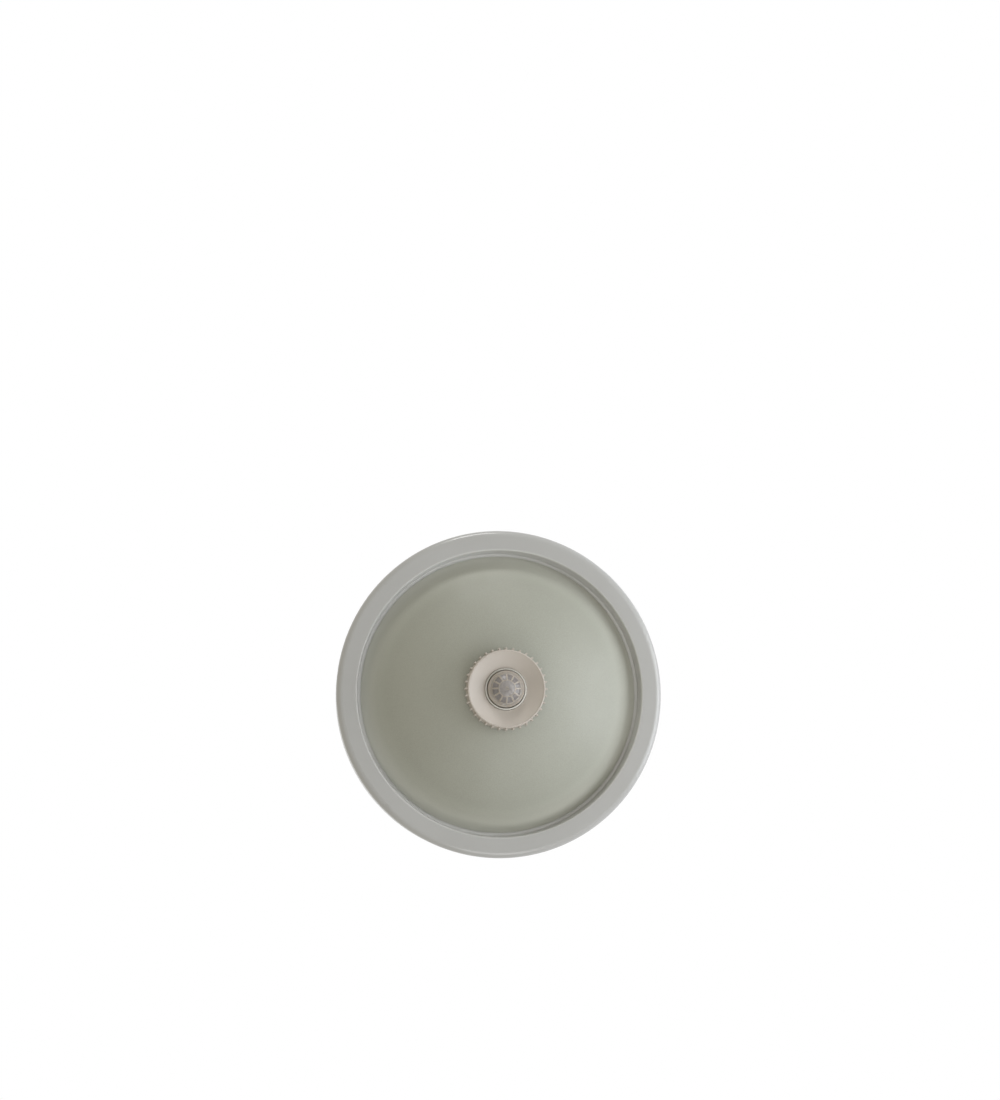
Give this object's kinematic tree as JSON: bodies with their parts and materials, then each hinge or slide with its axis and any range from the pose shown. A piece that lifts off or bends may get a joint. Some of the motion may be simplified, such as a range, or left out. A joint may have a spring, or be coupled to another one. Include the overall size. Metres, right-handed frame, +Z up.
{
  "type": "ceiling light with motion sensor",
  "caption": "Round ceiling light: sheet steel base with rolled rim, frosted glass dome held by a ribbed ring nut round a motion sensor lens, with bulbs inside.",
  "frame": {"origin": "centre of the face that lies on the ceiling", "axes": "+Z up into the ceiling, the light hangs towards -Z; the fixing slots lie along Y"},
  "size_m": [0.3, 0.3, 0.1018],
  "materials": {
    "white_enamel": "gloss white powder coat",
    "zinc_steel": "bright zinc plate",
    "frosted_glass": "satin etched",
    "beige_plastic": "moulded, fine grain",
    "white_plastic": "moulded",
    "lens_plastic": "milky, segmented",
    "pale_rubber": "soft silicone",
    "grey_rubber": "moulded",
    "board": "solder mask",
    "component_blue": "moulded case",
    "component_grey": "moulded case",
    "component_black": "sleeved can",
    "can_metal": "nickel",
    "brass": "plain",
    "porcelain": "glazed",
    "opal_glass": "opal",
    "aluminium": "bright",
    "black_glass": "gloss",
    "terminal_plastic": "translucent moulding",
    "wire_brown": "insulation",
    "wire_blue": "insulation",
    "wire_black": "insulation",
    "wire_green_yellow": "insulation"
  },
  "bodies": {
    "base": {"base_pan": "white_enamel", "block_screw": "zinc_steel", "board_screws": "zinc_steel", "bracket_rivets": "aluminium", "cable_grommet": "grey_rubber", "centre_contact_1": "brass", "centre_contact_2": "brass", "control_board": "board", "earth_clamp": "brass", "earth_screw": "zinc_steel", "earth_wire": "wire_green_yellow", "film_capacitor": "component_grey", "holder_screws_1": "zinc_steel", "holder_screws_2": "zinc_steel", "housing_screws": "zinc_steel", "infrared_detector": "can_metal", "lampholder_1": "porcelain", "lampholder_2": "porcelain", "lampholder_bracket_1": "zinc_steel", "lampholder_bracket_2": "zinc_steel", "lens_cap": "lens_plastic", "light_cell": "component_grey", "lux_trimmer": "component_blue", "neutral_wire_1": "wire_blue", "neutral_wire_2": "wire_blue", "relay": "component_blue", "round_capacitor": "component_black", "screw_shell_1": "can_metal", "screw_shell_2": "can_metal", "seat_gasket": "pale_rubber", "sensor_board": "board", "sensor_housing": "white_plastic", "sensor_lead": "component_grey", "supply_live_wire": "wire_brown", "supply_neutral_wire": "wire_blue", "switched_wire_1": "wire_black", "switched_wire_2": "wire_black", "terminal_block": "terminal_plastic", "terminal_clamps": "brass", "terminal_screws": "zinc_steel", "time_trimmer": "component_blue"},
    "shade": {"glass_shade": "frosted_glass"},
    "washer": {"nut_washer": "grey_rubber"},
    "nut": {"ring_nut": "beige_plastic"},
    "time_dial": {"time_knob": "beige_plastic"},
    "lux_dial": {"lux_knob": "beige_plastic"},
    "bulb_1": {"bulb_globe_1": "opal_glass", "bulb_cap_1": "aluminium", "bulb_insulator_1": "black_glass", "bulb_contact_1": "can_metal"},
    "bulb_2": {"bulb_globe_2": "opal_glass", "bulb_cap_2": "aluminium", "bulb_insulator_2": "black_glass", "bulb_contact_2": "can_metal"}
  },
  "joints": [
    {"name": "shade_lift_off", "type": "slide", "parent": "base", "child": "shade", "axis": [0, 0, -1], "range_m": [0, 0.1]},
    {"name": "nut_travel", "type": "slide", "parent": "shade", "child": "washer", "axis": [0, 0, -1], "range_m": [0, 0.014]},
    {"name": "nut_spin", "type": "hinge", "parent": "washer", "child": "nut", "pos_m": [0, 0, -0.0846], "axis": [0, 0, -1], "range_deg": [0, 1678]},
    {"name": "time_knob_turn", "type": "hinge", "parent": "base", "child": "time_dial", "pos_m": [-0.00854, -0.02114, -0.054], "axis": [0, 0, 1], "range_deg": [0, 270]},
    {"name": "lux_knob_turn", "type": "hinge", "parent": "base", "child": "lux_dial", "pos_m": [0.00854, -0.02114, -0.054], "axis": [0, 0, 1], "range_deg": [0, 270]},
    {"name": "bulb_1_withdraw", "type": "slide", "parent": "base", "child": "bulb_1", "axis": [1, 0, 0], "range_m": [0, 0.024]},
    {"name": "bulb_2_withdraw", "type": "slide", "parent": "base", "child": "bulb_2", "axis": [-1, 0, 0], "range_m": [0, 0.024]}
  ],
  "couplings": [
    {"joint": "nut_travel", "follows": "nut_spin", "m_per_rad": 0.00047746}
  ]
}
